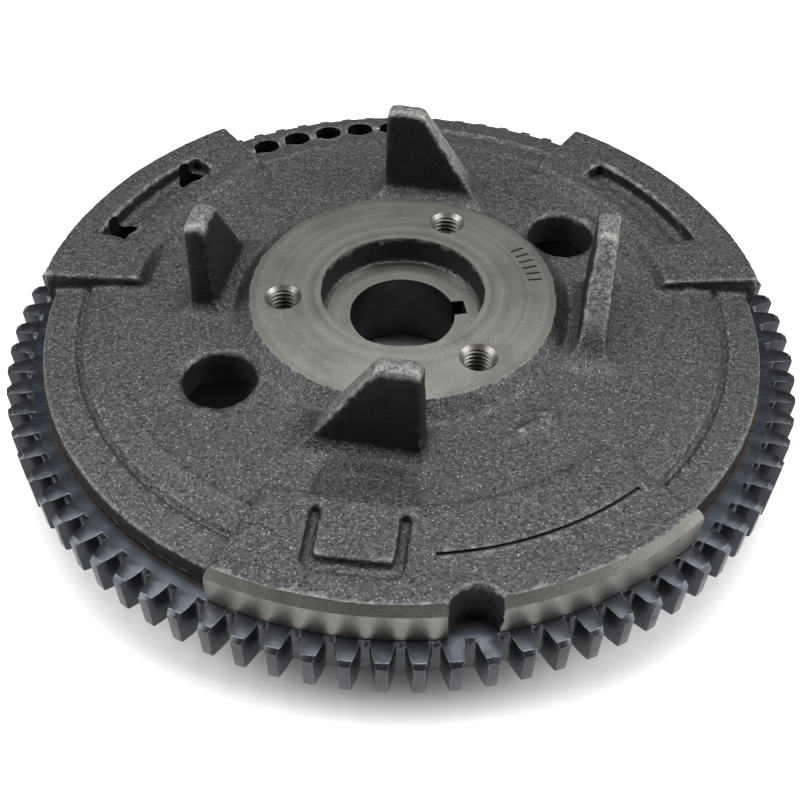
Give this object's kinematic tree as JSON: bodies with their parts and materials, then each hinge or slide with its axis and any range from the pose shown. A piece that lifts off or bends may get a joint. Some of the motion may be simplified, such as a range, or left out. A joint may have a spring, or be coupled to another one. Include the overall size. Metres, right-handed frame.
{
  "type": "engine flywheel",
  "caption": "Round iron flywheel for a small engine: machined hub with tapered bore, upright fins, raised rim pads, toothed starter ring and magnets inside the rim.",
  "frame": {"origin": "on the crankshaft axis, in the plane of the rim's bottom face", "axes": "+Z along the crankshaft axis towards the fan side; +X and +Y across the disc, with the keyway 10.5 degrees from +X"},
  "size_m": [0.1958, 0.1958, 0.0528],
  "materials": {
    "casting": "sand-cast, dark, machined on the hub face and the trigger land",
    "gear_steel": "smooth blue-black oxide",
    "cage_plastic": "moulded, black",
    "sleeve_steel": "rolled stainless sheet",
    "magnet": "bare grey ferrite"
  },
  "bodies": {
    "root": {"flywheel_casting": "casting", "ring_gear": "gear_steel", "magnet_cage": "cage_plastic", "magnet_sleeve": "sleeve_steel", "magnet_01": "magnet", "magnet_02": "magnet", "magnet_03": "magnet", "magnet_04": "magnet", "magnet_05": "magnet", "magnet_06": "magnet", "magnet_07": "magnet", "magnet_08": "magnet", "magnet_09": "magnet", "magnet_10": "magnet", "magnet_11": "magnet", "magnet_12": "magnet"}
  },
  "joints": []
}
